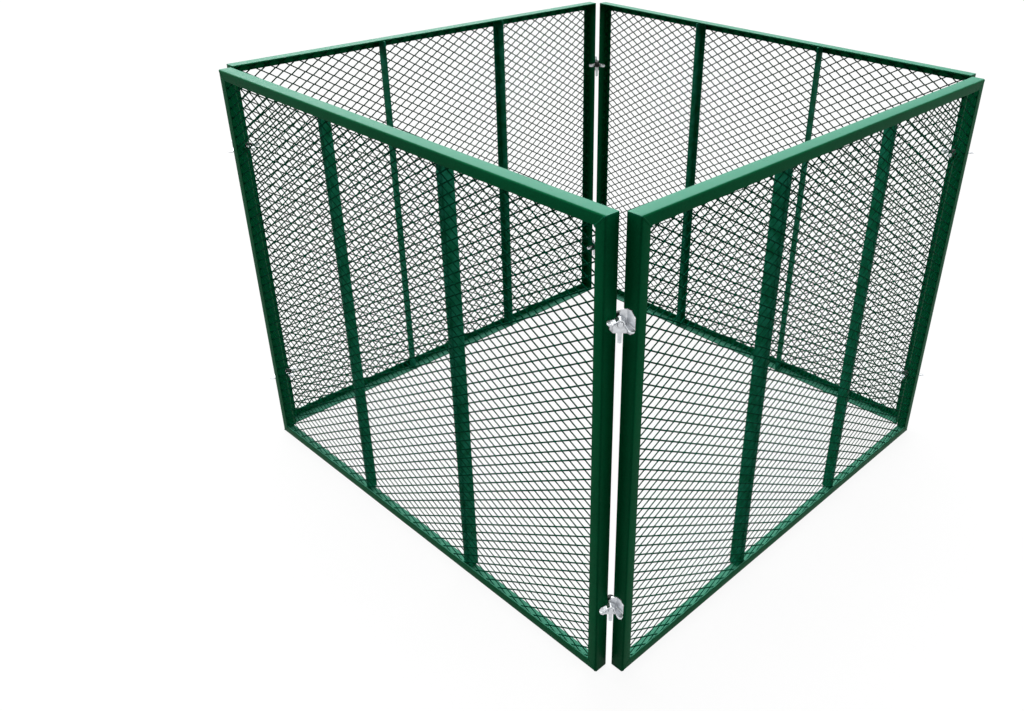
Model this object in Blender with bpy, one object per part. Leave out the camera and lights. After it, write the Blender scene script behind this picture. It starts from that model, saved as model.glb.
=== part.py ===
"""Metal compost bin: four framed mesh panels held together at the corners by eight hand clamps."""
import math

import bmesh
import bpy
from mathutils import Matrix, Vector

# Panel frame, rolled from unequal angle
PANEL_WIDTH = 0.970
PANEL_HEIGHT = 0.800
FACE_LEG = 0.018
EDGE_LEG = 0.025
ANGLE_WALL = 0.0025
WELD_GAP = 0.0003

# Expanded metal sheet behind the face legs
SHEET_THICKNESS = 0.0035
SHEET_EDGE_CLEARANCE = 0.0005
STRAND_WIDTH = 0.0045
SHEET_BORDER = 0.009
DIAMONDS_ACROSS = 6
DIAMONDS_UP = 8

# Upright stiffeners behind the sheet
STIFFENER_FACE_LEG = 0.012
STIFFENER_DEEP_LEG = 0.024
STIFFENER_WALL = 0.0025
STIFFENER_OUTER_HEEL = 0.173
STIFFENER_INNER_HEEL = 0.153

# Corner joint
CORNER_OFFSET = 0.0062
CLAMP_LOW_HEIGHT = 0.140
CLAMP_HIGH_HEIGHT = 0.650
TOUCH_GAP = 0.0003

# Clamp bolt and its winged head inside the bin
SHANK_RADIUS = 0.0039
SHANK_END_BEYOND_NUT = 0.0016
HEAD_BASE_RADIUS = 0.0080
HEAD_END_RADIUS = 0.0064
HEAD_HEIGHT = 0.009
HEAD_WING_SPAN = 0.040
HEAD_WING_RISE = 0.020

# Clamp plate seated in the corner notch
PLATE_THICKNESS = 0.0020
PLATE_WEB_DEPTH = 0.0060
PLATE_LEAF_DEPTH = 0.0160
PLATE_HEIGHT = 0.036
PLATE_CORNER_CUT = 0.009
PLATE_CUT_SHARE = 0.55
LEAF_TURN = math.radians(45.0)
HOLE_CLEARANCE = 0.0006

# Wing nut
NUT_BASE_RADIUS = 0.0085
NUT_TOP_RADIUS = 0.0065
NUT_HEIGHT = 0.010
NUT_BORE_CLEARANCE = 0.0004
WING_SPAN = 0.039
WING_RISE = 0.0225
WING_THICKNESS = 0.0032
WING_TURN = math.radians(-20.0)
ROUND_SIDES = 24
SMOOTH_LIMIT = math.radians(35.0)

# Outline of one wing, of the nut and of the bolt's head: share of half the span, share of the rise
WING_OUTLINE = (
    (0.28, 0.05),
    (0.46, 0.10),
    (0.74, 0.30),
    (0.92, 0.46),
    (1.00, 0.64),
    (0.99, 0.82),
    (0.90, 0.96),
    (0.77, 1.00),
    (0.65, 0.93),
    (0.57, 0.76),
    (0.46, 0.54),
    (0.33, 0.42),
    (0.28, 0.42),
)

# Each panel is the same frame, turned about the middle of the bin.
# The last value says on which side the stiffener heels lie, seen from outside.
PANELS = (
    ("front", 0, -1),
    ("right", 1, 1),
    ("back", 2, 1),
    ("left", 3, -1),
)
CORNERS = (
    ("front_right", -45.0),
    ("back_right", 45.0),
    ("back_left", 135.0),
    ("front_left", 225.0),
)


def outer_face():
    """Distance from the middle of the bin to the outer face of a panel."""
    return PANEL_WIDTH / 2 + CORNER_OFFSET + EDGE_LEG


def sheet_front():
    """Depth of the sheet's outer side below the outer face of its panel."""
    return ANGLE_WALL + TOUCH_GAP


def stiffener_front():
    """Depth of the stiffeners' outer side below the outer face of their panel."""
    return sheet_front() + SHEET_THICKNESS + TOUCH_GAP


def half_gap():
    """Half of the open slot between the two end legs at a corner."""
    return CORNER_OFFSET / math.sqrt(2)


def clear_scene():
    for item in list(bpy.data.objects):
        bpy.data.objects.remove(item, do_unlink=True)


def make_material(name, colour, roughness, metallic):
    material = bpy.data.materials.new(name)
    material.use_nodes = True
    shader = material.node_tree.nodes["Principled BSDF"]
    shader.inputs["Base Color"].default_value = (*colour, 1.0)
    shader.inputs["Roughness"].default_value = roughness
    shader.inputs["Metallic"].default_value = metallic
    material.diffuse_color = (*colour, 1.0)
    return material


def mesh_from(name, points, faces):
    mesh = bpy.data.meshes.new(name)
    mesh.from_pydata([tuple(p) for p in points], [], faces)
    work = bmesh.new()
    work.from_mesh(mesh)
    bmesh.ops.recalc_face_normals(work, faces=work.faces)
    work.to_mesh(mesh)
    work.free()
    mesh.update()
    return mesh


def place(name, mesh, material, parent=None, matrix=None):
    item = bpy.data.objects.new(name, mesh)
    bpy.context.scene.collection.objects.link(item)
    if not mesh.materials:
        mesh.materials.append(material)
    item.parent = parent
    if matrix is not None:
        item.matrix_world = matrix
    return item


def panel_point(u, depth, height):
    """A point of the front panel: along it, inward from its outer face, and up."""
    return Vector((u, depth - outer_face(), height))


# Frame members


def angle_profile(face_leg, deep_leg, wall):
    """Outline of an angle: distance from the heel in the face, depth."""
    return (
        (0.0, 0.0),
        (face_leg, 0.0),
        (face_leg, wall),
        (wall, wall),
        (wall, deep_leg),
        (0.0, deep_leg),
    )


def prism(name, first_end, last_end):
    count = len(first_end)
    faces = [tuple(range(count)), tuple(range(2 * count - 1, count - 1, -1))]
    for i in range(count):
        j = (i + 1) % count
        faces.append((i, i + count, j + count, j))
    return mesh_from(name, list(first_end) + list(last_end), faces)


def rail_mesh(name, at_top):
    """A mitred rail along the top or the bottom of a panel."""
    start = []
    end = []
    mitre = WELD_GAP / math.sqrt(2)
    for heel, depth in angle_profile(FACE_LEG, EDGE_LEG, ANGLE_WALL):
        reach = PANEL_WIDTH / 2 - heel - mitre
        height = PANEL_HEIGHT - heel if at_top else heel
        start.append(panel_point(-reach, depth, height))
        end.append(panel_point(reach, depth, height))
    return prism(name, start, end)


def stile_mesh(name, side):
    """A mitred upright at one end of a panel."""
    start = []
    end = []
    mitre = WELD_GAP / math.sqrt(2)
    for heel, depth in angle_profile(FACE_LEG, EDGE_LEG, ANGLE_WALL):
        u = side * (PANEL_WIDTH / 2 - heel)
        start.append(panel_point(u, depth, heel + mitre))
        end.append(panel_point(u, depth, PANEL_HEIGHT - heel - mitre))
    return prism(name, start, end)


def stiffener_mesh(name, heel_at, heel_side):
    """An upright angle behind the sheet, its face leg toward the other side."""
    start = []
    end = []
    profile = angle_profile(STIFFENER_FACE_LEG, STIFFENER_DEEP_LEG, STIFFENER_WALL)
    low = ANGLE_WALL + WELD_GAP
    for heel, depth in profile:
        u = heel_at - heel_side * heel
        start.append(panel_point(u, stiffener_front() + depth, low))
        end.append(panel_point(u, stiffener_front() + depth, PANEL_HEIGHT - low))
    return prism(name, start, end)


# Diamond sheet, laid out on a grid of half diamonds


def sheet_grid():
    return 2 * DIAMONDS_ACROSS, 2 * DIAMONDS_UP


def around_middle(keys):
    """Grid points in anticlockwise order about their middle."""
    middle_x = sum(key[0] for key in keys) / len(keys)
    middle_y = sum(key[1] for key in keys) / len(keys)
    return sorted(keys, key=lambda key: math.atan2(key[1] - middle_y, key[0] - middle_x))


def sheet_cells():
    """Diamonds as rings of grid points, those on the border cut to halves and quarters."""
    across, up = sheet_grid()
    cells = []
    for i in range(across + 1):
        for j in range(i % 2, up + 1, 2):
            ring = [(i + 1, j), (i, j + 1), (i - 1, j), (i, j - 1)]
            inside = [p for p in ring if 0 <= p[0] <= across and 0 <= p[1] <= up]
            if len(inside) == 2:
                inside.append((i, j))
            cells.append(around_middle(inside))
    return cells


def on_border(a, b):
    across, up = sheet_grid()
    level = a[1] == b[1] and a[1] in (0, up)
    upright = a[0] == b[0] and a[0] in (0, across)
    return level or upright


def inset(before, after):
    """How far a hole's side stays from the grid line that it follows."""
    return SHEET_BORDER if on_border(before, after) else STRAND_WIDTH / 2


def inset_corner(before, here, after, first_inset, second_inset):
    """Where the two sides that meet at a corner cross after both move inward."""
    d1 = (here - before).normalized()
    d2 = (after - here).normalized()
    p1 = here + Vector((-d1.y, d1.x)) * first_inset
    p2 = here + Vector((-d2.y, d2.x)) * second_inset
    cross = d1.x * d2.y - d1.y * d2.x
    step = ((p2.x - p1.x) * d2.y - (p2.y - p1.y) * d2.x) / cross
    return p1 + d1 * step


class FlatSheet:
    """Flat layout of the pierced sheet: points, faces, rings of the holes and outer edges."""

    def __init__(self):
        self.width = PANEL_WIDTH - 2 * (ANGLE_WALL + SHEET_EDGE_CLEARANCE)
        self.height = PANEL_HEIGHT - 2 * (ANGLE_WALL + SHEET_EDGE_CLEARANCE)
        self.cells = sheet_cells()
        self.points = []
        self.faces = []
        self.holes = []
        self.outer_edges = []
        self.hole_corners = {}
        self.edge_points = {}
        self.add_holes()
        self.add_strands()
        self.add_crossings()

    def spot(self, key):
        across, up = sheet_grid()
        return Vector(((key[0] / across - 0.5) * self.width, (key[1] / up - 0.5) * self.height))

    def middle(self, number):
        """The middle of a cell, on the grid."""
        cell = self.cells[number]
        return sum((Vector(key) for key in cell), Vector((0.0, 0.0))) / len(cell)

    def add_point(self, point):
        self.points.append(point)
        return len(self.points) - 1

    def edge_point(self, key):
        """The point of the sheet's own outline at a grid point."""
        if key not in self.edge_points:
            self.edge_points[key] = self.add_point(self.spot(key))
        return self.edge_points[key]

    def add_holes(self):
        for number, cell in enumerate(self.cells):
            for before, key, after in zip(cell[-1:] + cell[:-1], cell, cell[1:] + cell[:1]):
                places = (self.spot(before), self.spot(key), self.spot(after))
                corner = inset_corner(*places, inset(before, key), inset(key, after))
                self.hole_corners[number, key] = self.add_point(corner)
            self.holes.append([self.hole_corners[number, key] for key in cell])

    def add_strands(self):
        """A strand between each two holes, and the border between a hole and the outline."""
        users = {}
        for number, cell in enumerate(self.cells):
            for a, b in zip(cell, cell[1:] + cell[:1]):
                users.setdefault(frozenset((a, b)), []).append((number, a, b))
        for sides in users.values():
            number, a, b = sides[0]
            near = (self.hole_corners[number, b], self.hole_corners[number, a])
            if len(sides) == 2:
                other = sides[1][0]
                self.faces.append((self.hole_corners[other, a], self.hole_corners[other, b], *near))
            else:
                edge = (self.edge_point(a), self.edge_point(b))
                self.faces.append((*edge, *near))
                self.outer_edges.append(edge)

    def add_crossings(self):
        """The small face where strands cross, or where they meet the border."""
        meeting = {}
        for number, cell in enumerate(self.cells):
            for key in cell:
                meeting.setdefault(key, []).append(number)
        for key, numbers in meeting.items():
            if len(numbers) < 2:
                continue
            here = Vector(key)
            turns = [(self.middle(number) - here, self.hole_corners[number, key]) for number in numbers]
            if key in self.edge_points:
                outward = -sum((way for way, _ in turns), Vector((0.0, 0.0)))
                turns.append((outward, self.edge_point(key)))
            turns.sort(key=lambda turn: math.atan2(turn[0].y, turn[0].x))
            self.faces.append(tuple(point for _, point in turns))


def sheet_mesh(name):
    flat = FlatSheet()
    count = len(flat.points)
    points = []
    for depth in (sheet_front(), sheet_front() + SHEET_THICKNESS):
        points += [panel_point(p.x, depth, p.y + PANEL_HEIGHT / 2) for p in flat.points]
    faces = list(flat.faces)
    faces += [tuple(reversed([i + count for i in face])) for face in flat.faces]
    for ring in flat.holes:
        for a, b in zip(ring, ring[1:] + ring[:1]):
            faces.append((a, b, b + count, a + count))
    for a, b in flat.outer_edges:
        faces.append((b, a, a + count, b + count))
    return mesh_from(name, points, faces)


# Round and pressed pieces of the clamps, built along their own Z axis


def combine(mesh, others, operation):
    """Join or cut meshes exactly and return one new mesh."""
    base = bpy.data.objects.new("work_base", mesh)
    bpy.context.scene.collection.objects.link(base)
    tools = []
    for other in others:
        tool = bpy.data.objects.new("work_tool", other)
        bpy.context.scene.collection.objects.link(tool)
        change = base.modifiers.new("work", "BOOLEAN")
        change.operation = operation
        change.solver = "EXACT"
        change.object = tool
        tools.append(tool)
    view = bpy.context.evaluated_depsgraph_get()
    result = bpy.data.meshes.new_from_object(base.evaluated_get(view))
    for item in tools + [base]:
        bpy.data.objects.remove(item, do_unlink=True)
    return result


def ring_points(radius, height, sides=ROUND_SIDES):
    points = []
    for k in range(sides):
        turn = 2 * math.pi * (k + 0.5) / sides
        points.append(Vector((radius * math.cos(turn), radius * math.sin(turn), height)))
    return points


def turned_mesh(name, profile):
    """A solid of revolution from radius and height pairs, closed at both ends."""
    points = []
    for radius, height in profile:
        points += ring_points(radius, height)
    faces = [tuple(range(ROUND_SIDES))]
    last = len(points) - ROUND_SIDES
    faces.append(tuple(range(last, last + ROUND_SIDES)))
    for row in range(len(profile) - 1):
        for k in range(ROUND_SIDES):
            j = (k + 1) % ROUND_SIDES
            a = row * ROUND_SIDES
            faces.append((a + k, a + j, a + ROUND_SIDES + j, a + ROUND_SIDES + k))
    return mesh_from(name, points, faces)


def outline_prism(name, outline, thickness, to_point):
    """A flat plate from an outline; to_point turns outline values and offset into a point."""
    first = [to_point(a, b, -thickness / 2) for a, b in outline]
    last = [to_point(a, b, thickness / 2) for a, b in outline]
    return prism(name, first, last)


def web_front():
    """Outward distance of the clamp plate's web from the slot's middle, on its nut side."""
    return PLATE_WEB_DEPTH + PLATE_THICKNESS


def nut_seat():
    return web_front() + TOUCH_GAP


def head_seat():
    """Inward distance from the slot's middle to the bolt head's bearing face."""
    return ANGLE_WALL / math.sqrt(2) + TOUCH_GAP


def clamp_plate_mesh(name):
    """Pressed plate: a flat web across the notch and a leaf along each end leg."""
    lean = half_gap() - TOUCH_GAP * math.sqrt(2)
    cut_depth = PLATE_WEB_DEPTH + PLATE_CUT_SHARE * (PLATE_LEAF_DEPTH - PLATE_WEB_DEPTH)
    depths = (PLATE_LEAF_DEPTH, cut_depth, PLATE_WEB_DEPTH)
    halves = (PLATE_HEIGHT / 2 - PLATE_CORNER_CUT, PLATE_HEIGHT / 2, PLATE_HEIGHT / 2)
    square = PLATE_THICKNESS / math.sqrt(2)
    fold = PLATE_THICKNESS * math.tan(LEAF_TURN / 2)
    stations = []
    for depth, half in zip(depths, halves):
        back = Vector((-(lean + depth), depth))
        front = back + Vector((square, square))
        if depth == PLATE_WEB_DEPTH:
            front = back + Vector((fold, PLATE_THICKNESS))
        stations.append((back, front, half))
    mirrored = []
    for back, front, half in reversed(stations):
        mirrored.append((Vector((-back.x, back.y)), Vector((-front.x, front.y)), half))
    points = []
    for back, front, half in stations + mirrored:
        points.append(Vector((back.x, -half, back.y)))
        points.append(Vector((back.x, half, back.y)))
        points.append(Vector((front.x, half, front.y)))
        points.append(Vector((front.x, -half, front.y)))
    faces = [(0, 1, 2, 3), tuple(range(len(points) - 1, len(points) - 5, -1))]
    for row in range(len(points) // 4 - 1):
        a = 4 * row
        for k in range(4):
            j = (k + 1) % 4
            faces.append((a + k, a + 4 + k, a + 4 + j, a + j))
    body = mesh_from(name + "_blank", points, faces)
    radius = SHANK_RADIUS + HOLE_CLEARANCE
    reach = PLATE_WEB_DEPTH - PLATE_THICKNESS, PLATE_WEB_DEPTH + 2 * PLATE_THICKNESS
    hole = turned_mesh(name + "_hole", ((radius, reach[0]), (radius, reach[1])))
    return combine(body, [hole], "DIFFERENCE")


def winged_hub(name, base_radius, end_radius, height, span, rise):
    """Tapered hub with two rounded wings, its base at zero."""
    hub = turned_mesh(name + "_hub", ((base_radius, 0.0), (end_radius, height)))
    wings = []
    for side in (1, -1):
        outline = [(side * a * span / 2, b * rise) for a, b in WING_OUTLINE]

        def to_point(a, b, offset):
            return Vector((a, offset, b))

        wings.append(outline_prism(name + "_wing", outline, WING_THICKNESS, to_point))
    return combine(hub, wings, "UNION")


def wing_nut_mesh(name):
    """Winged hub with a bore right through."""
    solid = winged_hub(name, NUT_BASE_RADIUS, NUT_TOP_RADIUS, NUT_HEIGHT, WING_SPAN, WING_RISE)
    radius = SHANK_RADIUS + NUT_BORE_CLEARANCE
    bore = turned_mesh(name + "_bore", ((radius, -NUT_HEIGHT), (radius, 2 * NUT_HEIGHT)))
    return combine(solid, [bore], "DIFFERENCE")


def clamp_bolt_mesh(name):
    """Shank through the slot and a winged head that bears on the two end legs."""
    head = winged_hub(
        name + "_head",
        HEAD_BASE_RADIUS,
        HEAD_END_RADIUS,
        HEAD_HEIGHT,
        HEAD_WING_SPAN,
        HEAD_WING_RISE,
    )
    head.transform(Matrix.Translation((0.0, 0.0, -head_seat())) @ Matrix.Rotation(math.pi, 4, "X"))
    inner_end = -head_seat() - HEAD_HEIGHT / 2
    outer_end = nut_seat() + NUT_HEIGHT + SHANK_END_BEYOND_NUT
    shank = turned_mesh(name + "_shank", ((SHANK_RADIUS, inner_end), (SHANK_RADIUS, outer_end)))
    return combine(head, [shank], "UNION")


def clamp_matrix(angle, height):
    """Frame of a clamp: Z outward along the corner's diagonal, Y up."""
    turn = math.radians(angle)
    outward = Vector((math.cos(turn), math.sin(turn), 0.0))
    upward = Vector((0.0, 0.0, 1.0))
    across = upward.cross(outward)
    middle = (PANEL_WIDTH / 2 + CORNER_OFFSET / 2) * math.sqrt(2)
    rotation = Matrix((across, upward, outward)).transposed().to_4x4()
    return Matrix.Translation(outward * middle + upward * height) @ rotation


def smooth_round(mesh):
    """Smooth shading except across sharp edges."""
    mesh.shade_smooth()
    mesh.set_sharp_from_angle(angle=SMOOTH_LIMIT)


def build():
    clear_scene()
    frame_paint = make_material("frame_paint", (0.010, 0.105, 0.062), 0.38, 0.0)
    sheet_paint = make_material("sheet_paint", (0.012, 0.090, 0.055), 0.42, 0.0)
    zinc = make_material("zinc", (0.62, 0.64, 0.66), 0.32, 1.0)

    meshes = {
        "top_rail": rail_mesh("top_rail", True),
        "bottom_rail": rail_mesh("bottom_rail", False),
        "stile_a": stile_mesh("stile_a", -1),
        "stile_b": stile_mesh("stile_b", 1),
        "sheet": sheet_mesh("sheet"),
    }
    for side in (-1, 1):
        outer = side * STIFFENER_OUTER_HEEL
        inner = -side * STIFFENER_INNER_HEEL
        meshes["outer", side] = stiffener_mesh("stiffener_outer", outer, side)
        meshes["inner", side] = stiffener_mesh("stiffener_inner", inner, side)

    for name, quarter, heel_side in PANELS:
        spin = Matrix.Rotation(quarter * math.pi / 2, 4, "Z")
        for part in ("top_rail", "bottom_rail", "stile_a", "stile_b"):
            place(f"{name}_{part}", meshes[part], frame_paint, matrix=spin)
        place(f"{name}_stiffener_a", meshes["outer", heel_side], frame_paint, matrix=spin)
        place(f"{name}_stiffener_b", meshes["inner", heel_side], frame_paint, matrix=spin)
        place(f"{name}_mesh_sheet", meshes["sheet"], sheet_paint, matrix=spin)

    plate = clamp_plate_mesh("clamp_plate")
    nut = wing_nut_mesh("wing_nut")
    bolt = clamp_bolt_mesh("clamp_bolt")
    for mesh in (plate, nut, bolt):
        smooth_round(mesh)
    seat = Matrix.Translation((0.0, 0.0, nut_seat())) @ Matrix.Rotation(WING_TURN, 4, "Z")
    for corner, angle in CORNERS:
        for level, height in (("low", CLAMP_LOW_HEIGHT), ("high", CLAMP_HIGH_HEIGHT)):
            frame = clamp_matrix(angle, height)
            place(f"{corner}_{level}_bolt", bolt, zinc, matrix=frame)
            place(f"{corner}_{level}_clamp_plate", plate, zinc, matrix=frame)
            place(f"{corner}_{level}_wing_nut", nut, zinc, matrix=frame @ seat)


build()
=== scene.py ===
"""Dressed model of the metal compost bin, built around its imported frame."""
import math

import bmesh
import bpy
import numpy as np
from mathutils import Matrix, Vector


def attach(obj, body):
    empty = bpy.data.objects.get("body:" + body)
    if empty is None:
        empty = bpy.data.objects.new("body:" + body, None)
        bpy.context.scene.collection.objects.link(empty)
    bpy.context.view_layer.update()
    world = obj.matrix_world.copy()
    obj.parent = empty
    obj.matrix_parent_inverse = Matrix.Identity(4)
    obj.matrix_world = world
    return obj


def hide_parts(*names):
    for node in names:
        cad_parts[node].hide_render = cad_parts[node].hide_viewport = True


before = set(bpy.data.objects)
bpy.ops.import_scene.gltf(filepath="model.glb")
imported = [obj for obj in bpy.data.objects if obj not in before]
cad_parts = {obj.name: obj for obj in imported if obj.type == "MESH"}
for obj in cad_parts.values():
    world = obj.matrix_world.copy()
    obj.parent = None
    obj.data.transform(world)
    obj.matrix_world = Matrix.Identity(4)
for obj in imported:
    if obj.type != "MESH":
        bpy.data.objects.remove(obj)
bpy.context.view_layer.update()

# Panel frame of formed angle, as packed
PANEL_WIDTH = 0.970
PANEL_HEIGHT = 0.800
FACE_LEG = 0.018
EDGE_LEG = 0.025
ANGLE_WALL = 0.0025
CORNER_OFFSET = 0.0062
HALF_WIDTH = PANEL_WIDTH / 2
OUTER_FACE = HALF_WIDTH + CORNER_OFFSET + EDGE_LEG
MITRE_GAP = 0.0001
HEEL_RADIUS = 0.0030
FILLET_RADIUS = 0.0020
TOE_RADIUS = 0.0009
TOE_BACK_RADIUS = 0.0005
ARC_STEPS = 5

# Extra edges at both ends of a member, which keep the shading near its mitres flat
END_RINGS = (0.0010, 0.0040)

# Upright stiffeners behind the net
STIFFENER_FRONT = 0.0066
STIFFENER_FACE_LEG = 0.012
STIFFENER_DEEP_LEG = 0.024
STIFFENER_WALL = 0.0025
STIFFENER_OUTER_HEEL = 0.173
STIFFENER_INNER_HEEL = 0.153
STIFFENER_END = 0.0028

# Raised expanded metal: strips of sheet, slit apart and pulled into a net
MESH_WIDTH = 0.964
MESH_HEIGHT = 0.7925
STRIPS = 87
WAVES = 31
STRIP_WIDTH = 0.00095
MESH_GAUGE = 0.00265
BOND_LENGTH = 0.0010
MESH_FRONT = 0.00275
MESH_END_STEP = 1e-6

# Weld beads: all beads swell and sink along their length and taper at their ends
BEAD_RIPPLE = 0.0035
BEAD_SWELL = 0.16
BEAD_TAPER_POWER = 8
BEAD_ROWS_PER_RIPPLE = 4
BEAD_LEAST_ROWS = 6
BEAD_SIDES = 9

# Beads at each corner of a panel: two along the mitre outside, one over the arris, one
# along the mitre inside and one in the inner corner. Each end is a distance in from both
# the panel's side and its top or bottom, and a depth. Then come the way the bead faces,
# half its width and its height.
HEEL_MIDDLE = HEEL_RADIUS * 0.5
BLOB_START = FACE_LEG - 0.0010 / math.sqrt(2)
BLOB_END = FACE_LEG + 0.0020 / math.sqrt(2)
ARRIS_INSET = 0.0020 / math.sqrt(2)
ARRIS_END = EDGE_LEG - 0.001
BACK_START = ANGLE_WALL + 0.0004
BACK_END = FACE_LEG - 0.0010
BACK_END_DEPTH = ANGLE_WALL - 0.0002
INNER_START = FILLET_RADIUS + ANGLE_WALL
INNER_END = EDGE_LEG - 0.002
CORNER_BEADS = (
    ((HEEL_MIDDLE, 0.0), (FACE_LEG, 0.0), "outward", 0.0015, 0.0005),
    ((BLOB_START, 0.0), (BLOB_END, 0.0), "outward", 0.0026, 0.0009),
    ((ARRIS_INSET, HEEL_RADIUS), (ARRIS_INSET, ARRIS_END), "away", 0.0016, 0.0008),
    ((BACK_START, BACK_START), (BACK_END, BACK_END_DEPTH), "inward", 0.0018, 0.0006),
    ((ANGLE_WALL, INNER_START), (ANGLE_WALL, INNER_END), "middle", 0.0030, 0.0017),
)

# Short tacks along the net, and fillets at the ends of the stiffeners
TACKS_ACROSS = 9
TACKS_UP = 7
TACK_LENGTH = 0.0070
TACK_DEPTH = 0.0052
TACK_INSET = 0.0015
TACK_MARGIN = 0.03
TACK_HALF_WIDTH = 0.0030
TACK_HEIGHT = 0.0019
END_WELD_START = 0.004
END_WELD_STOP = 0.002
END_WELD_HALF_WIDTH = 0.0022
END_WELD_HEIGHT = 0.0014

# Hand clamps, as packed
CLAMP_LOW_HEIGHT = 0.140
CLAMP_HIGH_HEIGHT = 0.650
HEAD_SEAT = 0.00207
NUT_SEAT = 0.0083
WING_TURN = math.radians(-20.0)

# Hubs of the wing nut and the bolt's head, narrower at the top, and their wings
NUT = {
    "base": 0.0085,
    "top": 0.0065,
    "height": 0.010,
    "span": 0.039,
    "rise": 0.0225,
    "wing": 0.0032,
}
HEAD = {
    "base": 0.0080,
    "top": 0.0064,
    "height": 0.009,
    "span": 0.040,
    "rise": 0.020,
    "wing": 0.0062,
}
HUB_CHAMFER = 0.0006
HUB_SIDES = 48
BORE_RADIUS = 0.0043
RECESS_RADIUS = 0.0046
RECESS_FLOOR_RADIUS = RECESS_RADIUS - 0.0006
RECESS_DEPTH = 0.0060

# Threaded part of a bolt, from inside its head to just past its nut
SHANK_RADIUS = 0.0039
SHANK_END_BEYOND_NUT = 0.0016
THREAD_START_IN_HEAD = 0.0015
THREAD_PITCH = 0.00125
THREAD_DEPTH = 0.0006
THREAD_SIDES = 28
THREAD_ROWS_PER_TURN = 6

# Outline of one wing: share of half the span, share of the rise
WING_OUTLINE = (
    (0.28, 0.05),
    (0.46, 0.10),
    (0.74, 0.30),
    (0.92, 0.46),
    (1.00, 0.64),
    (0.99, 0.82),
    (0.90, 0.96),
    (0.78, 1.00),
    (0.64, 0.98),
    (0.52, 0.87),
    (0.42, 0.68),
    (0.33, 0.50),
    (0.28, 0.44),
)

# Shares of a wing's plain thickness: what it has at the hub's middle, and loses to its tip
WING_ROOT = 1.12
WING_LOSS = 0.24

# How castings are run together and rounded
CAST_VOXEL = 0.00055
CAST_SMOOTHING = {"factor": 0.5, "iterations": 5}

# Pressed plate. On the small leaf's side its web stops at a slanted edge, and the bolt
# sits in the notch above it. A narrow tail hangs below the web.
PLATE_THICKNESS = 0.0020
PLATE_WEB_DEPTH = 0.0060
PLATE_LEAF_DEPTH = 0.0160
PLATE_SMALL_LEAF_DEPTH = 0.0110
PLATE_HEIGHT = 0.036
PLATE_CORNER_CUT = 0.009
PLATE_CUT_SHARE = 0.55
PLATE_SMALL_CUT = 0.0075
PLATE_OPEN_FLOOR = -0.0046
PLATE_OPEN_FOOT = -0.0034
PLATE_OPEN_TOP = 0.0005
PLATE_TAIL_HALF = 0.0026
PLATE_TAIL_LENGTH = 0.0155
PLATE_TAIL_ROOT = 0.0004
PLATE_TAIL_POINT = 0.0010
PLATE_CLEARANCE = 0.0003
PLATE_HOLE_RADIUS = 0.0045
PLATE_BEVEL = {
    "width": 0.0007,
    "segments": 3,
    "limit_method": "ANGLE",
    "angle_limit": math.radians(30.0),
}

# Angles between faces, in degrees, beyond which an edge stays sharp
FORMED_EDGES = 35.0
PRESSED_EDGES = 40.0
THREAD_EDGES = 50.0
SOFT_EDGES = 60.0

# Each panel is the same, turned by quarter turns about the middle of the bin. The last
# value is the side of the panel's middle, -1 or 1 along it, on which stiffener a stands.
PANELS = (("front", 0, -1), ("right", 1, 1), ("back", 2, 1), ("left", 3, -1))

# Corners: the way out along the diagonal in degrees, and the body that holds the bolts
CORNERS = (
    ("front_right", -45.0, "right_panel"),
    ("back_right", 45.0, "back_panel"),
    ("back_left", 135.0, "back_panel"),
    ("front_left", 225.0, "left_panel"),
)

# Camera, fitted to the corners of the panels in the photograph
CAMERA_AZIMUTH = 0.749652
CAMERA_ELEVATION = 0.526075
CAMERA_DISTANCE = 2.045756
CAMERA_TARGET = Vector((0.0, 0.0, 0.204629))
CAMERA_ROLL = 0.021421
CAMERA_LENS = 32.94
CAMERA_SENSOR = 36.0
CAMERA_SHIFT = (-0.0863, -0.0078)

# Light: how bright a white surface that faces each lamp looks
TOP_LIGHT = 0.25
TOP_SPREAD = math.radians(70.0)
BACK_LIGHT = 1.36
BACK_SPREAD = math.radians(68.0)
BACK_ELEVATION = math.radians(46.0)
BACK_SWING = 0.28
SIDE_LIGHT = 0.25
SIDE_SPREAD = math.radians(50.0)
SIDE_ELEVATION = math.radians(20.0)
AMBIENT = 0.012

# Floor, a little below the object so that the two never share a plane
FLOOR_SIZE = 30.0
FLOOR_DROP = 0.0005
FLOOR_COLOUR = (0.08, 0.08, 0.08, 1.0)
FLOOR_GLOW = 0.92
WHITE = (1.0, 1.0, 1.0, 1.0)


# Shapes


def mesh_from(name, points, faces):
    mesh = bpy.data.meshes.new(name)
    mesh.from_pydata([tuple(p) for p in points], [], faces)
    work = bmesh.new()
    work.from_mesh(mesh)
    bmesh.ops.recalc_face_normals(work, faces=work.faces)
    work.to_mesh(mesh)
    work.free()
    mesh.update()
    return mesh


def joined(name, meshes):
    """One mesh from several, each left whole."""
    work = bmesh.new()
    for mesh in meshes:
        work.from_mesh(mesh)
    result = bpy.data.meshes.new(name)
    work.to_mesh(result)
    work.free()
    return result


def moved(mesh, matrix):
    """A copy of the mesh in its place."""
    result = mesh.copy()
    result.transform(matrix)
    return result


def smooth(mesh, limit=FORMED_EDGES):
    mesh.shade_smooth()
    mesh.set_sharp_from_angle(angle=math.radians(limit))
    return mesh


def add_object(name, data):
    item = bpy.data.objects.new(name, data)
    bpy.context.scene.collection.objects.link(item)
    return item


def shaped(mesh, modifiers):
    """The mesh after modifiers, each a type and its settings."""
    item = add_object("shaping", mesh)
    for kind, settings in modifiers:
        change = item.modifiers.new(kind.lower(), kind)
        for key, value in settings.items():
            setattr(change, key, value)
    view = bpy.context.evaluated_depsgraph_get()
    result = bpy.data.meshes.new_from_object(item.evaluated_get(view))
    bpy.data.objects.remove(item)
    return result


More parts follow.
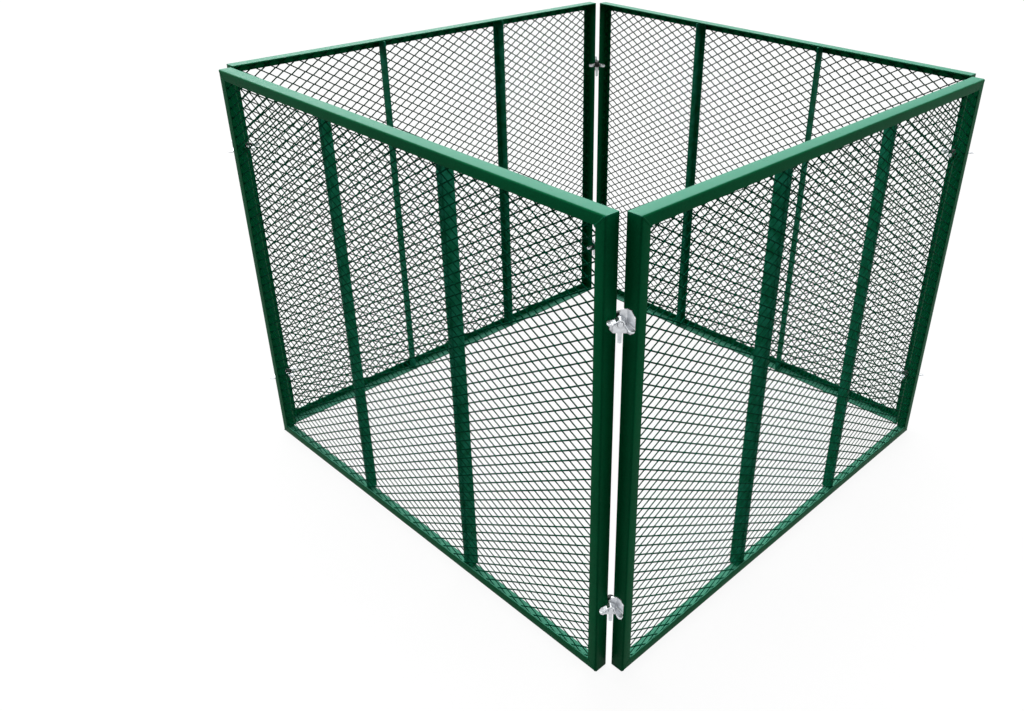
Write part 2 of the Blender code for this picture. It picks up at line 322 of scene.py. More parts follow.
def add_piece(name, mesh, material, body, matrix=None, nodes=()):
    item = add_object(name, mesh)
    if not mesh.materials:
        mesh.materials.append(material)
    if matrix is not None:
        item.matrix_world = matrix
    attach(item, body)
    if nodes:
        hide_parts(*nodes)


def panel_point(u, depth, height):
    """A point of the front panel: along it, inward from its outer face, and up."""
    return Vector((u, depth - OUTER_FACE, height))


def rounded(corners):
    """Outline through corners, each an x, a y and the radius of its arc."""
    outline = []
    count = len(corners)
    for i, (x, y, radius) in enumerate(corners):
        here = Vector((x, y))
        before = (Vector(corners[i - 1][:2]) - here).normalized()
        after = (Vector(corners[(i + 1) % count][:2]) - here).normalized()
        half = before.angle(after) / 2
        reach = radius / math.tan(half)
        centre = here + (before + after).normalized() * (radius / math.sin(half))
        start = here + before * reach - centre
        end = here + after * reach - centre
        turn = start.angle_signed(end)
        for k in range(ARC_STEPS + 1):
            swing = Matrix.Rotation(-turn * k / ARC_STEPS, 2)
            outline.append(centre + swing @ start)
    return outline


def angle_profile(face_leg, deep_leg, wall):
    """Outline of a formed angle: distance from the heel in the face, depth."""
    return rounded(
        (
            (0.0, 0.0, HEEL_RADIUS),
            (face_leg, 0.0, TOE_RADIUS),
            (face_leg, wall, TOE_BACK_RADIUS),
            (wall, wall, FILLET_RADIUS),
            (wall, deep_leg, TOE_BACK_RADIUS),
            (0.0, deep_leg, TOE_RADIUS),
        )
    )


def loft(name, rows):
    """A closed body through rows of points, each row one outline, with flat ends."""
    count = len(rows[0])
    points = [point for row in rows for point in row]
    last = len(points) - count
    faces = [tuple(range(count)), tuple(range(last + count - 1, last - 1, -1))]
    for row in range(len(rows) - 1):
        a = row * count
        for i in range(count):
            j = (i + 1) % count
            faces.append((a + i, a + i + count, a + j + count, a + j))
    return mesh_from(name, points, faces)


def prism(name, first_end, last_end, rings=()):
    """A body between two like outlines; rings are distances from both ends for more edges."""
    rows = [first_end]
    for distance in rings:
        rows.append([a + (b - a).normalized() * distance for a, b in zip(first_end, last_end)])
    for distance in reversed(rings):
        rows.append([b + (a - b).normalized() * distance for a, b in zip(first_end, last_end)])
    rows.append(last_end)
    return loft(name, rows)


def rail_mesh(name, at_top):
    start = []
    end = []
    for heel, depth in angle_profile(FACE_LEG, EDGE_LEG, ANGLE_WALL):
        reach = HALF_WIDTH - heel - MITRE_GAP
        height = PANEL_HEIGHT - heel if at_top else heel
        start.append(panel_point(-reach, depth, height))
        end.append(panel_point(reach, depth, height))
    return smooth(prism(name, start, end, END_RINGS))


def stile_mesh(name, side):
    start = []
    end = []
    for heel, depth in angle_profile(FACE_LEG, EDGE_LEG, ANGLE_WALL):
        u = side * (HALF_WIDTH - heel)
        start.append(panel_point(u, depth, heel + MITRE_GAP))
        end.append(panel_point(u, depth, PANEL_HEIGHT - heel - MITRE_GAP))
    return smooth(prism(name, start, end, END_RINGS))


def stiffener_mesh(name, heel_at, heel_side):
    start = []
    end = []
    profile = angle_profile(STIFFENER_FACE_LEG, STIFFENER_DEEP_LEG, STIFFENER_WALL)
    for heel, depth in profile:
        u = heel_at - heel_side * heel
        start.append(panel_point(u, STIFFENER_FRONT + depth, STIFFENER_END))
        end.append(panel_point(u, STIFFENER_FRONT + depth, PANEL_HEIGHT - STIFFENER_END))
    return smooth(prism(name, start, end))


def expanded_mesh(name):
    """The net, worked out as slit sheet whose strips are pulled along the sheet's normal.

    A strip is bonded to its neighbours at every other half wave. There it stays flat,
    and between the bonds it slopes. The pulled sheet then leans back to lie level.
    """
    half_wave = MESH_WIDTH / (2 * WAVES)
    pitch = MESH_HEIGHT / STRIPS
    lean = math.acos(STRIP_WIDTH / pitch)
    pull = STRIP_WIDTH * math.tan(lean)
    along = []
    bond_of = []
    for k in range(2 * WAVES + 1):
        for side in (-1, 1):
            x = min(max(k * half_wave + side * BOND_LENGTH / 2, 0.0), MESH_WIDTH)
            along.append(x - MESH_WIDTH / 2)
            bond_of.append(k)
    along[0] = -MESH_WIDTH / 2 - MESH_END_STEP
    along[-1] = MESH_WIDTH / 2 + MESH_END_STEP
    stations = len(along)
    rise = (PANEL_HEIGHT - MESH_HEIGHT) / 2 + pull / 2 * math.sin(lean)
    front = STRIP_WIDTH * math.sin(lean) / 2 + MESH_GAUGE / 2 * math.cos(lean)

    # Where the corners of each strip's section are in the list of points. Two strips
    # share the points of a bond.
    points = []
    index = np.zeros((STRIPS, 2, stations, 2), int)
    for strip in range(STRIPS):
        for edge in (0, 1):
            across = (strip + edge) * STRIP_WIDTH
            for k in range(stations):
                upper = (bond_of[k] + strip) % 2 == 0
                if edge == 0 and not upper and strip > 0:
                    index[strip, 0, k] = index[strip - 1, 1, k]
                    continue
                shift = (strip + (0.5 if upper else -0.5)) * pull
                for face, offset in enumerate((-MESH_GAUGE / 2, MESH_GAUGE / 2)):
                    normal = shift + offset
                    height = across * math.cos(lean) + normal * math.sin(lean) + rise
                    depth = across * math.sin(lean) - normal * math.cos(lean) + front
                    index[strip, edge, k, face] = len(points)
                    points.append(panel_point(along[k], MESH_FRONT + depth, height))

    faces = []
    for strip in range(STRIPS):
        low, high = index[strip]
        for k in range(stations - 1):
            faces.append((low[k, 1], low[k + 1, 1], high[k + 1, 1], high[k, 1]))
            faces.append((low[k, 0], high[k, 0], high[k + 1, 0], low[k + 1, 0]))
            flat = bond_of[k] == bond_of[k + 1]
            upper = (bond_of[k] + strip) % 2 == 0
            if not (flat and not upper and strip > 0):
                faces.append((low[k, 0], low[k + 1, 0], low[k + 1, 1], low[k, 1]))
            if not (flat and upper and strip < STRIPS - 1):
                faces.append((high[k, 1], high[k + 1, 1], high[k + 1, 0], high[k, 0]))
        for k, order in ((0, 1), (stations - 1, -1)):
            ring = (low[k, 0], low[k, 1], high[k, 1], high[k, 0])
            faces.append(ring[::order])
    mesh = bpy.data.meshes.new(name)
    corners = [tuple(int(i) for i in face) for face in faces]
    mesh.from_pydata([tuple(p) for p in points], [], corners)
    mesh.update()
    return mesh


# Welds


def bead_mesh(start, end, normal, half_width, height):
    """A rippled half-round bead along a line, lying on a surface with that normal."""
    way = (end - start).normalized()
    length = (end - start).length
    across = normal.cross(way)
    count = max(BEAD_LEAST_ROWS, int(length / (BEAD_RIPPLE / BEAD_ROWS_PER_RIPPLE)))
    rows = []
    for row in range(count + 1):
        share = row / count
        swell = 1.0 + BEAD_SWELL * math.sin(2 * math.pi * share * length / BEAD_RIPPLE)
        taper = math.sqrt(max(0.0, 1.0 - (2 * share - 1) ** BEAD_TAPER_POWER))
        middle = start + way * (length * share)
        ring = []
        for k in range(BEAD_SIDES):
            turn = math.pi * k / (BEAD_SIDES - 1)
            side = math.cos(turn) * half_width * (0.5 + 0.5 * taper)
            rise = math.sin(turn) * height * swell * taper
            ring.append(middle + across * side + normal * rise)
        rows.append(ring)
    return loft("bead", rows)


def corner_beads():
    beads = []
    for side in (-1, 1):
        for top in (-1, 1):
            edge = PANEL_HEIGHT if top == 1 else 0.0
            away = Vector((side, 0.0, top)).normalized()
            facing = {
                "outward": Vector((0.0, -1.0, 0.0)),
                "inward": Vector((0.0, 1.0, 0.0)),
                "away": away,
                "middle": -away,
            }
            for first, last, way, half_width, height in CORNER_BEADS:
                start, end = (
                    panel_point(side * (HALF_WIDTH - inset), depth, edge - top * inset)
                    for inset, depth in (first, last)
                )
                beads.append(bead_mesh(start, end, facing[way], half_width, height))
    return beads


def net_tacks():
    """Short fillets that hold the net to the inner side of the frame."""
    tacks = []
    inset = ANGLE_WALL + TACK_INSET
    for k in range(TACKS_ACROSS):
        u = ((k + 0.5) / TACKS_ACROSS * 2 - 1) * (HALF_WIDTH - TACK_MARGIN)
        for top in (-1, 1):
            height = PANEL_HEIGHT - inset if top == 1 else inset
            start = panel_point(u - TACK_LENGTH / 2, TACK_DEPTH, height)
            end = panel_point(u + TACK_LENGTH / 2, TACK_DEPTH, height)
            lean = Vector((0.0, 1.0, -top)).normalized()
            tacks.append(bead_mesh(start, end, lean, TACK_HALF_WIDTH, TACK_HEIGHT))
    for k in range(TACKS_UP):
        height = (k + 0.5) / TACKS_UP * (PANEL_HEIGHT - 2 * TACK_MARGIN) + TACK_MARGIN
        for side in (-1, 1):
            u = side * (HALF_WIDTH - inset)
            start = panel_point(u, TACK_DEPTH, height - TACK_LENGTH / 2)
            end = panel_point(u, TACK_DEPTH, height + TACK_LENGTH / 2)
            lean = Vector((-side, 1.0, 0.0)).normalized()
            tacks.append(bead_mesh(start, end, lean, TACK_HALF_WIDTH, TACK_HEIGHT))
    return tacks


def stiffener_welds(outer_side):
    """Fillets at both ends of the two stiffeners of a panel."""
    beads = []
    heels = (
        (outer_side * STIFFENER_OUTER_HEEL, outer_side),
        (-outer_side * STIFFENER_INNER_HEEL, -outer_side),
    )
    for heel_at, side in heels:
        for top in (-1, 1):
            height = PANEL_HEIGHT - ANGLE_WALL if top == 1 else ANGLE_WALL
            start = panel_point(heel_at, STIFFENER_FRONT + END_WELD_START, height)
            end = panel_point(heel_at, EDGE_LEG - END_WELD_STOP, height)
            lean = Vector((side, 0.0, -top)).normalized()
            beads.append(bead_mesh(start, end, lean, END_WELD_HALF_WIDTH, END_WELD_HEIGHT))
    return beads


# Round, cast and pressed pieces of the clamps, built along their own Z axis


def turned_mesh(name, profile):
    """A ring-shaped or solid body from a closed profile of radius and height pairs."""
    solid = min(radius for radius, height in profile) == 0.0
    rows = [(radius, height) for radius, height in profile if radius > 0.0]
    sides = HUB_SIDES
    points = []
    for radius, height in rows:
        for k in range(sides):
            turn = 2 * math.pi * (k + 0.5) / sides
            points.append((radius * math.cos(turn), radius * math.sin(turn), height))
    faces = []
    count = len(rows)
    for row in range(count - 1 if solid else count):
        a = row * sides
        b = (row + 1) % count * sides
        for k in range(sides):
            j = (k + 1) % sides
            faces.append((a + k, a + j, b + j, b + k))
    if solid:
        faces.append(tuple(range(sides)))
        faces.append(tuple(range(len(points) - 1, len(points) - sides - 1, -1)))
    return mesh_from(name, points, faces)


def hub_profile(size, bored):
    """Half section of a hub, with a bore through it or a recess in its end."""
    top = size["height"]
    outer = [
        (size["base"] - HUB_CHAMFER, 0.0),
        (size["base"], HUB_CHAMFER),
        (size["top"], top - HUB_CHAMFER),
        (size["top"] - HUB_CHAMFER, top),
    ]
    if bored:
        return outer + [(BORE_RADIUS, top), (BORE_RADIUS, 0.0)]
    floor = top - RECESS_DEPTH
    recess = [(RECESS_RADIUS, top), (RECESS_FLOOR_RADIUS, floor), (0.0, floor)]
    return [(0.0, 0.0)] + outer + recess


def wing_mesh(name, side, size):
    """One wing, a little thicker at its root than at its tip."""
    first = []
    last = []
    for a, b in WING_OUTLINE:
        x = side * a * size["span"] / 2
        z = b * size["rise"]
        thickness = size["wing"] * (WING_ROOT - WING_LOSS * a)
        first.append(Vector((x, -thickness / 2, z)))
        last.append(Vector((x, thickness / 2, z)))
    return prism(name, first, last)


def cast_mesh(name, size, parts):
    """Two wings, run together with the parts given and rounded as a casting."""
    for side in (-1, 1):
        parts.append(wing_mesh(name + "_wing", side, size))
    rough = joined(name + "_rough", parts)
    remesh = {"mode": "VOXEL", "voxel_size": CAST_VOXEL, "adaptivity": 0.0}
    cast = shaped(rough, (("REMESH", remesh), ("SMOOTH", CAST_SMOOTHING)))
    cast.name = name
    return smooth(cast, SOFT_EDGES)


def thread_mesh(name, low, high):
    """A screw thread with rounded crests, closed at both ends."""
    points = []
    count = int(math.ceil((high - low) / THREAD_PITCH * THREAD_ROWS_PER_TURN))
    for row in range(count + 1):
        height = low + (high - low) * row / count
        for k in range(THREAD_SIDES):
            turn = k / THREAD_SIDES
            phase = (height / THREAD_PITCH - turn) % 1.0
            crest = 0.5 + 0.5 * math.cos(2 * math.pi * phase)
            fade = min(1.0, (high - height) / THREAD_PITCH)
            radius = SHANK_RADIUS - THREAD_DEPTH * (1.0 - crest * fade)
            angle = 2 * math.pi * turn
            points.append((radius * math.cos(angle), radius * math.sin(angle), height))
    faces = []
    for row in range(count):
        for k in range(THREAD_SIDES):
            j = (k + 1) % THREAD_SIDES
            a = row * THREAD_SIDES
            faces.append((a + k, a + j, a + THREAD_SIDES + j, a + THREAD_SIDES + k))
    faces.append(tuple(range(THREAD_SIDES)))
    last = count * THREAD_SIDES
    faces.append(tuple(range(last + THREAD_SIDES - 1, last - 1, -1)))
    return smooth(mesh_from(name, points, faces), THREAD_EDGES)


def leaf_point(side, depth):
    """Back and front of a leaf of the plate, as across and outward distances."""
    lean = CORNER_OFFSET / math.sqrt(2) - PLATE_CLEARANCE * math.sqrt(2)
    square = PLATE_THICKNESS / math.sqrt(2)
    back = Vector((side * (lean + depth), depth))
    return back, back + Vector((-side * square, square))


def bend_point(side):
    """Back and front of the fold between the web and a leaf."""
    back = leaf_point(side, PLATE_WEB_DEPTH)[0]
    fold = PLATE_THICKNESS * math.tan(math.pi / 8)
    return back, back + Vector((-side * fold, PLATE_THICKNESS))


def web_point(across):
    """Back and front of the web at a distance across the notch."""
    back = Vector((across, PLATE_WEB_DEPTH))
    return back, back + Vector((0.0, PLATE_THICKNESS))


def slanted_edge(across):
    """Height of the web's open edge, which climbs from its foot to the plate's top."""
    slope = (PLATE_HEIGHT / 2 - PLATE_OPEN_FLOOR) / (PLATE_OPEN_TOP - PLATE_OPEN_FOOT)
    return PLATE_OPEN_FLOOR + slope * (across - PLATE_OPEN_FOOT)


def plate_mesh(name):
    """Pressed horseshoe plate: a web round the bolt, two leaves and a narrow tail."""
    top = PLATE_HEIGHT / 2
    low = -top
    cut_depth = PLATE_WEB_DEPTH + PLATE_CUT_SHARE * (PLATE_LEAF_DEPTH - PLATE_WEB_DEPTH)
    tail = low - PLATE_TAIL_LENGTH
    root = PLATE_TAIL_HALF + PLATE_TAIL_ROOT
    shoulder = tail + PLATE_TAIL_POINT

    # From the small leaf to the large one: section, bottom and top
    stations = (
        (leaf_point(-1, PLATE_SMALL_LEAF_DEPTH), low + PLATE_SMALL_CUT, PLATE_OPEN_FLOOR),
        (bend_point(-1), low, PLATE_OPEN_FLOOR),
        (web_point(PLATE_OPEN_FOOT), low, PLATE_OPEN_FLOOR),
        (web_point(-root), low, slanted_edge(-root)),
        (web_point(-PLATE_TAIL_HALF), shoulder, slanted_edge(-PLATE_TAIL_HALF)),
        (web_point(PLATE_OPEN_TOP), tail, top),
        (web_point(PLATE_TAIL_HALF), shoulder, top),
        (web_point(root), low, top),
        (bend_point(1), low, top),
        (leaf_point(1, cut_depth), low, top),
        (leaf_point(1, PLATE_LEAF_DEPTH), low + PLATE_CORNER_CUT, top - PLATE_CORNER_CUT),
    )
    rows = []
    for (back, front), bottom, height in stations:
        rows.append(
            (
                Vector((back.x, bottom, back.y)),
                Vector((back.x, height, back.y)),
                Vector((front.x, height, front.y)),
                Vector((front.x, bottom, front.y)),
            )
        )
    behind = PLATE_WEB_DEPTH - PLATE_THICKNESS
    before = PLATE_WEB_DEPTH + 2 * PLATE_THICKNESS
    radius = PLATE_HOLE_RADIUS
    profile = ((0.0, behind), (radius, behind), (radius, before), (0.0, before))
    tool = add_object("hole_tool", turned_mesh(name + "_hole", profile))
    hole = {"operation": "DIFFERENCE", "solver": "EXACT", "object": tool}
    plate = shaped(loft(name + "_blank", rows), (("BOOLEAN", hole), ("BEVEL", PLATE_BEVEL)))
    bpy.data.objects.remove(tool)
    plate.name = name
    return smooth(plate, PRESSED_EDGES)


def clamp_matrix(angle, height):
    """Frame of a clamp: Z outward along the corner's diagonal, Y up."""
    turn = math.radians(angle)
    outward = Vector((math.cos(turn), math.sin(turn), 0.0))
    upward = Vector((0.0, 0.0, 1.0))
    across = upward.cross(outward)
    middle = (HALF_WIDTH + CORNER_OFFSET / 2) * math.sqrt(2)
    rotation = Matrix((across, upward, outward)).transposed().to_4x4()
    return Matrix.Translation(outward * middle + upward * height) @ rotation


# Materials


class Finish:
    """A material with a few helpers that add nodes to it."""

    def __init__(self, name):
        self.material = bpy.data.materials.new(name)
        self.material.use_nodes = True
        self.tree = self.material.node_tree
        self.shader = self.tree.nodes["Principled BSDF"]
        self.place = self.tree.nodes.new("ShaderNodeTexCoord").outputs["Object"]

    def noise(self, scale, detail=4.0, roughness=0.5):
        node = self.tree.nodes.new("ShaderNodeTexNoise")
        node.inputs["Scale"].default_value = scale
        node.inputs["Detail"].default_value = detail
        node.inputs["Roughness"].default_value = roughness
        self.tree.links.new(self.place, node.inputs["Vector"])
        return node.outputs["Fac"]

    def ramp(self, source, *stops):
        """Colours or greys along a value; each stop is a place and a colour or grey."""
        node = self.tree.nodes.new("ShaderNodeValToRGB")
        elements = node.color_ramp.elements
        while len(elements) < len(stops):
            elements.new(0.5)
        for element, (position, value) in zip(elements, stops):
            element.position = position
            colour = value if isinstance(value, tuple) else (value, value, value)
            element.color = (*colour, 1.0)
        self.tree.links.new(source, node.inputs["Fac"])
        return node.outputs["Color"]

    def mix(self, factor, first, second, blend="MIX"):
        node = self.tree.nodes.new("ShaderNodeMix")
        node.data_type = "RGBA"
        node.blend_type = blend
        for socket, value in (("Factor", factor), ("A", first), ("B", second)):
            target = next(s for s in node.inputs if s.name == socket and s.enabled)
            if isinstance(value, bpy.types.NodeSocket):
                self.tree.links.new(value, target)
            elif isinstance(value, tuple):
                target.default_value = (*value, 1.0)
            else:
                target.default_value = value
        return next(s for s in node.outputs if s.enabled)

    def edges(self, low, high):
        """From 0 on flat or hollow places to 1 on outer edges."""
        node = self.tree.nodes.new("ShaderNodeNewGeometry")
        return self.ramp(node.outputs["Pointiness"], (low, 0.0), (high, 1.0))

    def upward(self, low, high):
        """From 0 on walls to 1 on faces that look up."""
        parts = self.tree.nodes.new("ShaderNodeSeparateXYZ")
        geometry = self.tree.nodes.new("ShaderNodeNewGeometry")
        self.tree.links.new(geometry.outputs["Normal"], parts.inputs[0])
        return self.ramp(parts.outputs["Z"], (low, 0.0), (high, 1.0))

    def bump(self, height, distance, strength, base=None):
        node = self.tree.nodes.new("ShaderNodeBump")
        node.inputs["Strength"].default_value = strength
        node.inputs["Distance"].default_value = distance
        self.tree.links.new(height, node.inputs["Height"])
        if base is not None:
            self.tree.links.new(base, node.inputs["Normal"])
        return node.outputs["Normal"]

    def set(self, **sockets):
        for name, value in sockets.items():
            target = self.shader.inputs[name.replace("_", " ")]
            if isinstance(value, bpy.types.NodeSocket):
                self.tree.links.new(value, target)
            else:
                target.default_value = value


def paint(name, deep, plain, edge_rub_and_highlight, painted_top_sheen, sheen_climb, roughness, level):
    """Baked green paint with a slight orange peel.

    It clouds between deep and plain. Along its edges it turns lighter, partly from wear and
    partly as a painted highlight, and where it looks up it takes a lighter colour, a painted
    sheen, which grows between the two values given for the upward normal.
    """
    finish = Finish(name)
    cloud = finish.ramp(finish.noise(9.0, 5.0, 0.6), (0.30, deep), (0.70, plain))
    speck = finish.ramp(finish.noise(420.0, 3.0, 0.6), (0.35, 0.82), (0.65, 1.0))
    body = finish.mix(1.0, cloud, speck, "MULTIPLY")
    patches = finish.ramp(finish.noise(60.0), (0.35, 0.2), (0.65, 1.0))
    # Edges turn toward a lighter colour, partly from wear and partly as a painted highlight
    edge_rub_and_highlight_mask = finish.mix(1.0, finish.edges(0.52, 0.60), patches, "MULTIPLY")
    # Painted sheen: faces that look up turn toward a lighter colour
    colour = finish.mix(finish.upward(*sheen_climb), finish.mix(edge_rub_and_highlight_mask, body, edge_rub_and_highlight), painted_top_sheen)
    smoother = roughness - 0.07
    rougher = roughness + 0.09
    gloss = finish.ramp(finish.noise(55.0, 6.0, 0.65), (0.30, smoother), (0.72, rougher))
    peel = finish.bump(finish.noise(520.0, 2.0, 0.5), 0.00008, 0.55)
    runs = finish.bump(finish.noise(70.0, 3.0, 0.5), 0.0004, 0.35, peel)
    finish.set(Base_Color=colour, Roughness=gloss, Normal=runs, Specular_IOR_Level=level)
    return finish.material


def zinc(name):
    """Bright zinc plate over a casting: fine grain, with painted shade that darkens its hollows."""
    finish = Finish(name)
    dull = (0.50, 0.52, 0.54)
    bright = (0.72, 0.74, 0.77)
    cloud = finish.ramp(finish.noise(110.0, 5.0, 0.6), (0.30, dull), (0.70, bright))
    # Painted shade: the colour falls to near black in hollows and stays full on edges
    shade = finish.ramp(finish.edges(0.42, 0.505), (0.0, 0.08), (0.6, 0.55), (1.0, 1.0))
    colour = finish.mix(1.0, cloud, shade, "MULTIPLY")
    gloss = finish.ramp(finish.noise(260.0, 4.0, 0.6), (0.30, 0.26), (0.72, 0.42))
    grain = finish.bump(finish.noise(900.0, 2.0, 0.5), 0.00006, 0.6)
    finish.set(Base_Color=colour, Roughness=gloss, Normal=grain, Metallic=1.0)
    return finish.material


def hub_shade_black(name):
    """Near-black steel for the hub of the bolt's head, as painted shade and dark reflection, a
    little paler in random patches.
    """
    finish = Finish(name)
    deep_hub_shade = (0.020, 0.024, 0.024)
    paler_hub_shade = (0.045, 0.048, 0.046)
    colour = finish.ramp(finish.noise(160.0, 4.0, 0.6), (0.30, deep_hub_shade), (0.70, paler_hub_shade))
    gloss = finish.ramp(finish.noise(240.0, 3.0, 0.6), (0.30, 0.42), (0.72, 0.58))
    grain = finish.bump(finish.noise(900.0, 2.0, 0.5), 0.00005, 0.5)
    finish.set(Base_Color=colour, Roughness=gloss, Normal=grain, Metallic=1.0)
    return finish.material


def seen_rays(tree):
    """1 for rays from the camera and for what metal or glass shows, else 0."""
    rays = tree.nodes.new("ShaderNodeLightPath").outputs
    seen = rays["Is Camera Ray"]
    for kind in ("Is Glossy Ray", "Is Transmission Ray"):
        either = tree.nodes.new("ShaderNodeMath")
        either.operation = "MAXIMUM"
        tree.links.new(seen, either.inputs[0])
        tree.links.new(rays[kind], either.inputs[1])
        seen = either.outputs[0]
    return seen


def floor_material():
    """Matt grey under the lamps, so that it holds a shadow, and pale where it is seen."""
    finish = Finish("studio_floor")
    finish.set(Base_Color=FLOOR_COLOUR, Roughness=0.9, Specular_IOR_Level=0.0, Emission_Color=WHITE)
    glow = finish.tree.nodes.new("ShaderNodeMath")
    glow.operation = "MULTIPLY"
    glow.inputs[1].default_value = FLOOR_GLOW
    finish.tree.links.new(seen_rays(finish.tree), glow.inputs[0])
    finish.set(Emission_Strength=glow.outputs[0])
    return finish.material


# Studio


def add_floor():
    half = FLOOR_SIZE / 2
    corners = [(-half, -half, 0.0), (half, -half, 0.0), (half, half, 0.0), (-half, half, 0.0)]
    mesh = mesh_from("studio_floor", corners, [(0, 1, 2, 3)])
    mesh.materials.append(floor_material())
    item = add_object("studio_floor", mesh)
    item.location.z = -FLOOR_DROP


def view_direction(azimuth, elevation):
    """The way from the object to a camera or lamp; azimuth 0 is in front of the bin."""
    level = math.cos(elevation)
    return Vector((math.sin(azimuth) * level, -math.cos(azimuth) * level, math.sin(elevation)))


def add_sun(name, level, spread, azimuth, elevation):
    """A wide soft lamp far off."""
    lamp = bpy.data.lights.new(name, "SUN")
    lamp.energy = level * math.pi
    lamp.angle = spread
    item = add_object(name, lamp)
    item.rotation_mode = "QUATERNION"
    item.rotation_quaternion = view_direction(azimuth, elevation).to_track_quat("Z", "Y")


def add_lights():
    behind = CAMERA_AZIMUTH + math.pi + BACK_SWING
    left = CAMERA_AZIMUTH - math.pi / 2
    right = CAMERA_AZIMUTH + math.pi / 2
    add_sun("top_light", TOP_LIGHT, TOP_SPREAD, 0.0, math.pi / 2)
    add_sun("back_light", BACK_LIGHT, BACK_SPREAD, behind, BACK_ELEVATION)
    add_sun("left_light", SIDE_LIGHT, SIDE_SPREAD, left, SIDE_ELEVATION)
    add_sun("right_light", SIDE_LIGHT, SIDE_SPREAD, right, SIDE_ELEVATION)


def add_world():
    """White where it is seen, and only a little light on the object."""
    world = bpy.data.worlds.new("studio")
    world.use_nodes = True
    tree = world.node_tree
    background = tree.nodes["Background"]
    background.inputs["Color"].default_value = WHITE
    level = tree.nodes.new("ShaderNodeMapRange")
    level.inputs["To Min"].default_value = AMBIENT
    level.inputs["To Max"].default_value = 1.0
    tree.links.new(seen_rays(tree), level.inputs["Value"])
    tree.links.new(level.outputs["Result"], background.inputs["Strength"])
    bpy.context.scene.world = world


def add_camera():
    data = bpy.data.cameras.new("camera")
    data.lens = CAMERA_LENS
    data.sensor_width = CAMERA_SENSOR
    data.shift_x, data.shift_y = CAMERA_SHIFT
    camera = add_object("camera", data)
    back = view_direction(CAMERA_AZIMUTH, CAMERA_ELEVATION)
    right = Vector((0.0, 0.0, 1.0)).cross(back).normalized()
    up = back.cross(right)
    x_axis = right * math.cos(CAMERA_ROLL) + up * math.sin(CAMERA_ROLL)
    y_axis = back.cross(x_axis)
    rotation = Matrix((x_axis, y_axis, back)).transposed().to_4x4()
    camera.matrix_world = Matrix.Translation(CAMERA_TARGET + back * CAMERA_DISTANCE) @ rotation
    bpy.context.scene.camera = camera


# The object


def dress_panels(frame_paint, sheet_paint):
    rails = {
        "top_rail": rail_mesh("top_rail_formed", True),
        "bottom_rail": rail_mesh("bottom_rail_formed", False),
        "stile_a": stile_mesh("stile_a_formed", -1),
        "stile_b": stile_mesh("stile_b_formed", 1),
    }
    stiffeners = {}
    welds = {}
    shared = corner_beads() + net_tacks()
    for side in (-1, 1):
        outer = side * STIFFENER_OUTER_HEEL
        inner = -side * STIFFENER_INNER_HEEL
        stiffeners["a", side] = stiffener_mesh("stiffener_outer_formed", outer, side)
        stiffeners["b", side] = stiffener_mesh("stiffener_inner_formed", inner, -side)
        welds[side] = smooth(joined("panel_welds", shared + stiffener_welds(side)), SOFT_EDGES)
    net = expanded_mesh("expanded_net")
    for name, quarter, outer_side in PANELS:
        spin = Matrix.Rotation(quarter * math.pi / 2, 4, "Z")
        body = f"{name}_panel"
        members = dict(rails)
        for end in ("a", "b"):
            members[f"stiffener_{end}"] = stiffeners[end, outer_side]
        for part, mesh in members.items():
            node = f"{name}_{part}"
            add_piece(node + "_formed", mesh, frame_paint, body, spin, [node])
        add_piece(f"{name}_welds", welds[outer_side], frame_paint, body, spin)
        node = f"{name}_mesh_sheet"
        add_piece(f"{name}_expanded_net", net, sheet_paint, body, spin, [node])


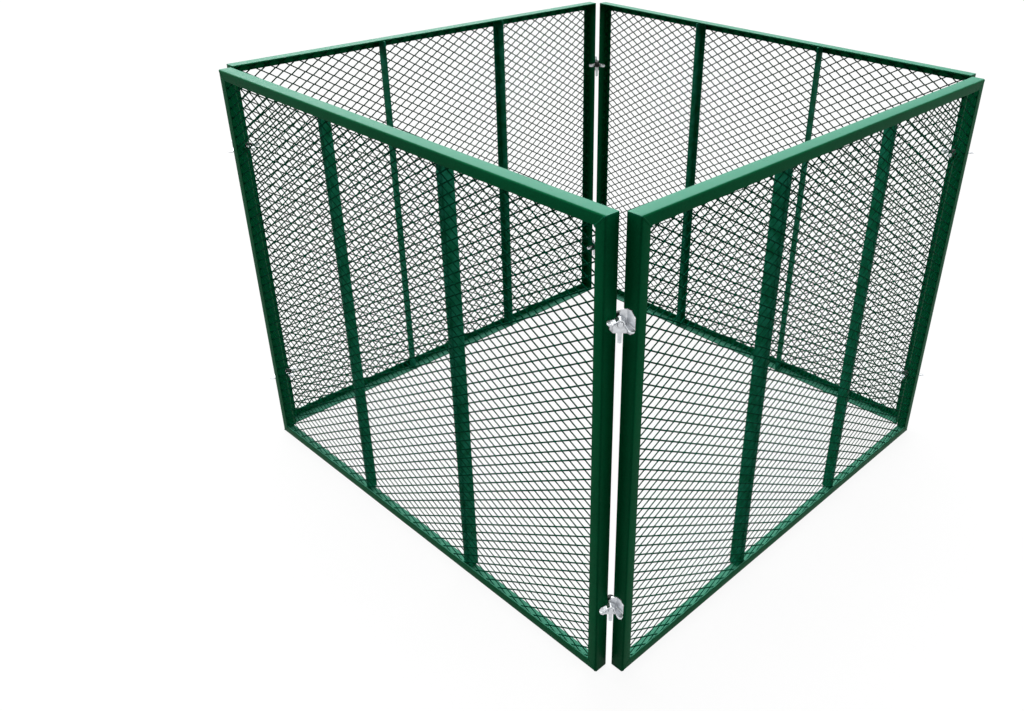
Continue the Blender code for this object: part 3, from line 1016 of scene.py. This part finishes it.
def dress_clamps(zinc_plate, hub_shade_steel):
    plate = plate_mesh("pressed_plate")
    nut = cast_mesh("cast_wing_nut", NUT, [turned_mesh("nut_hub", hub_profile(NUT, True))])
    wings = cast_mesh("cast_head_wings", HEAD, [])
    head = smooth(turned_mesh("bolt_head", hub_profile(HEAD, False)))
    inward = Matrix.Translation((0.0, 0.0, -HEAD_SEAT)) @ Matrix.Rotation(math.pi, 4, "X")
    for mesh in (wings, head):
        mesh.transform(inward)
    thread_start = -HEAD_SEAT - THREAD_START_IN_HEAD
    thread_end = NUT_SEAT + NUT["height"] + SHANK_END_BEYOND_NUT
    thread = thread_mesh("bolt_thread", thread_start, thread_end)
    nut.transform(Matrix.Translation((0.0, 0.0, NUT_SEAT)) @ Matrix.Rotation(WING_TURN, 4, "Z"))
    for corner, angle, owner in CORNERS:
        for level, height in (("low", CLAMP_LOW_HEIGHT), ("high", CLAMP_HIGH_HEIGHT)):
            key = f"{corner}_{level}"
            place = clamp_matrix(angle, height)
            clamp = f"{key}_clamp"
            # The bolt head's hub gets near-black steel, as painted shade and dark reflection
            for piece, mesh, material, body, slot, nodes in (
                ("bolt_head", head, hub_shade_steel, owner, None, [f"{key}_bolt"]),
                ("head_wings", wings, zinc_plate, owner, "zinc", ()),
                ("bolt_thread", thread, zinc_plate, owner, "zinc", ()),
                ("pressed_plate", plate, zinc_plate, clamp, "zinc", [f"{clamp}_plate"]),
                ("cast_wing_nut", nut, zinc_plate, f"{key}_nut", "zinc", [f"{key}_wing_nut"]),
            ):
                put = moved(mesh, place)
                add_piece(f"{key}_{piece}", put, material, body, nodes=nodes)


# The frame's paint turns lighter on its edges, partly wear and partly painted highlight, and takes
# a painted sheen where it looks up
frame_paint = paint(
    "green_frame_paint",
    deep=(0.0010, 0.150, 0.052),
    plain=(0.0014, 0.185, 0.064),
    edge_rub_and_highlight=(0.030, 0.360, 0.220),
    painted_top_sheen=(0.068, 0.280, 0.186),
    sheen_climb=(0.80, 0.97),
    roughness=0.32,
    level=0.018,
)
# The net's paint likewise has lighter edges, partly wear and partly painted highlight, and a
# painted sheen where it looks up
sheet_paint = paint(
    "green_net_paint",
    deep=(0.0004, 0.040, 0.016),
    plain=(0.0006, 0.056, 0.022),
    edge_rub_and_highlight=(0.001, 0.090, 0.045),
    painted_top_sheen=(0.0010, 0.105, 0.052),
    sheen_climb=(0.35, 0.75),
    roughness=0.46,
    level=0.004,
)
zinc_plate = zinc("zinc_plate")
dress_panels(frame_paint, sheet_paint)
dress_clamps(zinc_plate, hub_shade_black("hub_shade_steel"))
add_floor()
add_lights()
add_world()
add_camera()
bpy.context.scene.view_settings.view_transform = "Standard"
